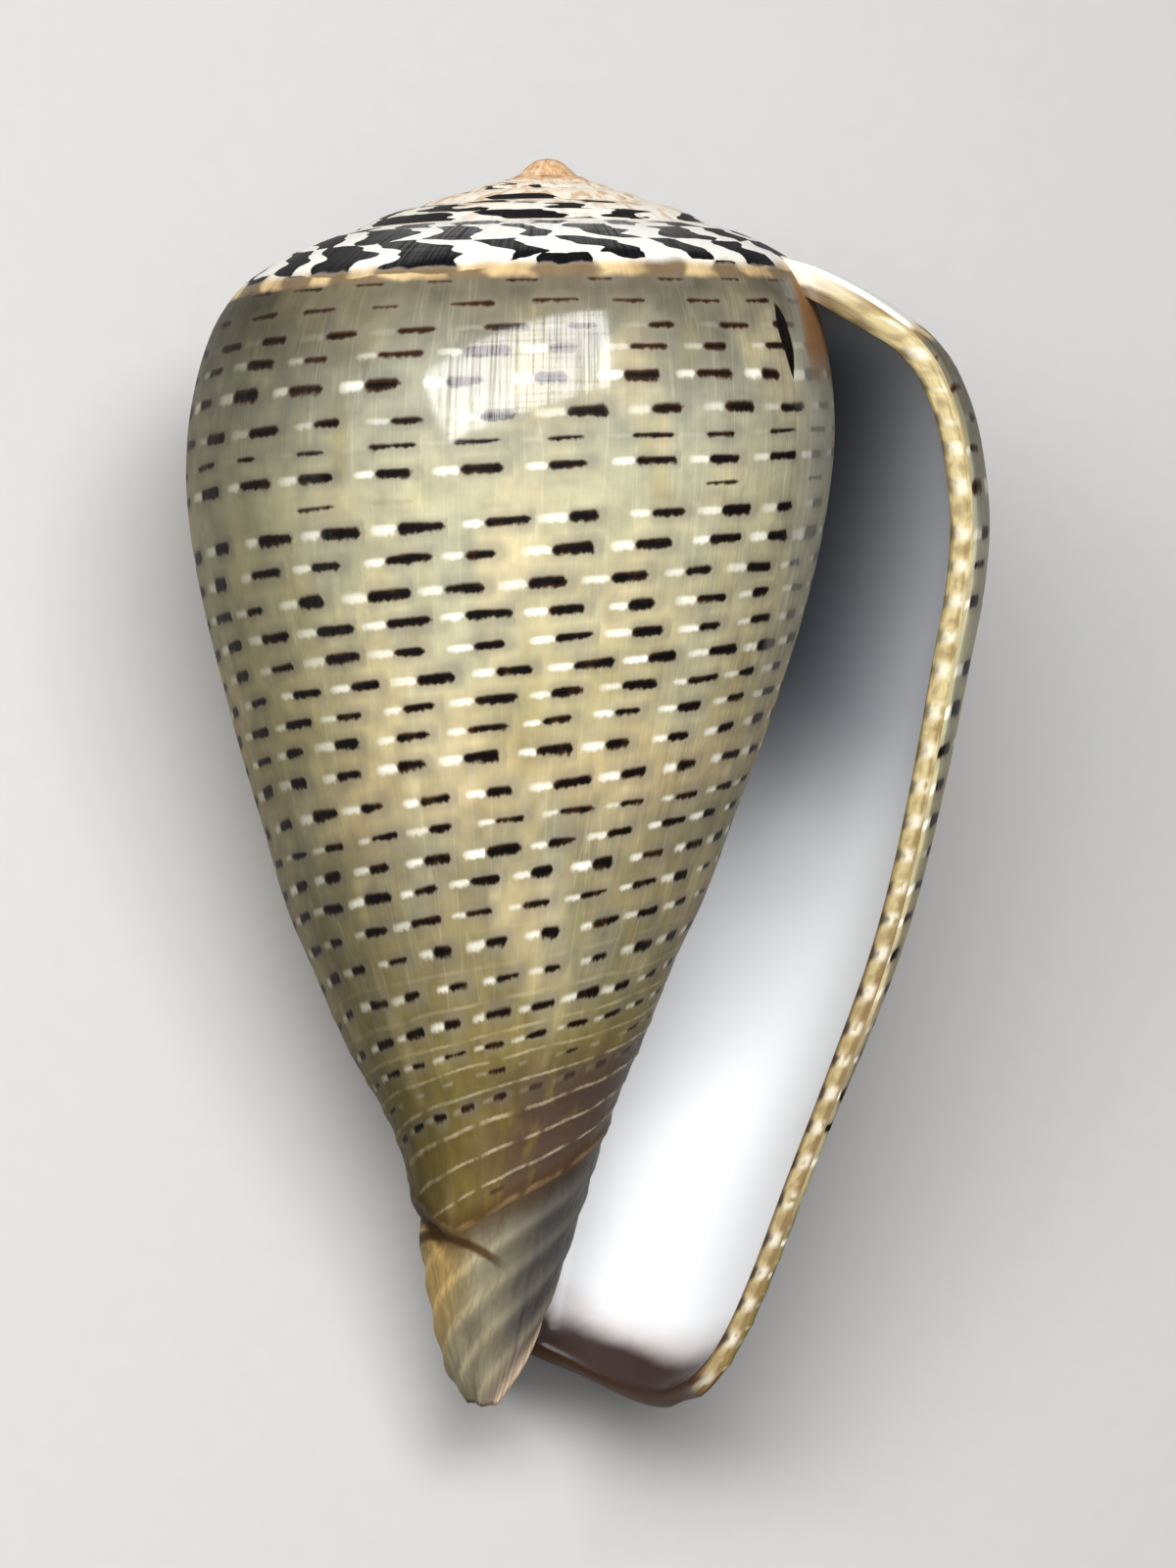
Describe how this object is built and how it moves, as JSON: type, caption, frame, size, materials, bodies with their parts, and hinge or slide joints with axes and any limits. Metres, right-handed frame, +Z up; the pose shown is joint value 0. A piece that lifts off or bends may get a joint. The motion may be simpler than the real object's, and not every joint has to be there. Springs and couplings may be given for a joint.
{
  "type": "cone shell",
  "caption": "Cone-shaped sea snail shell with a low spire, a wide shoulder and a long narrow mouth, lying on its back with the mouth up; a display piece.",
  "frame": {"origin": "under the middle of the shell's footprint, on the surface that it lies on", "axes": "+Y towards the pointed tip of the spire, with the narrow front end at -Y; +Z up, on the mouth's side; the lip stands out towards +X"},
  "size_m": [0.0312, 0.0488, 0.0282],
  "materials": {
    "shell": "polished"
  },
  "bodies": {
    "root": {"shell": "shell"}
  },
  "joints": []
}
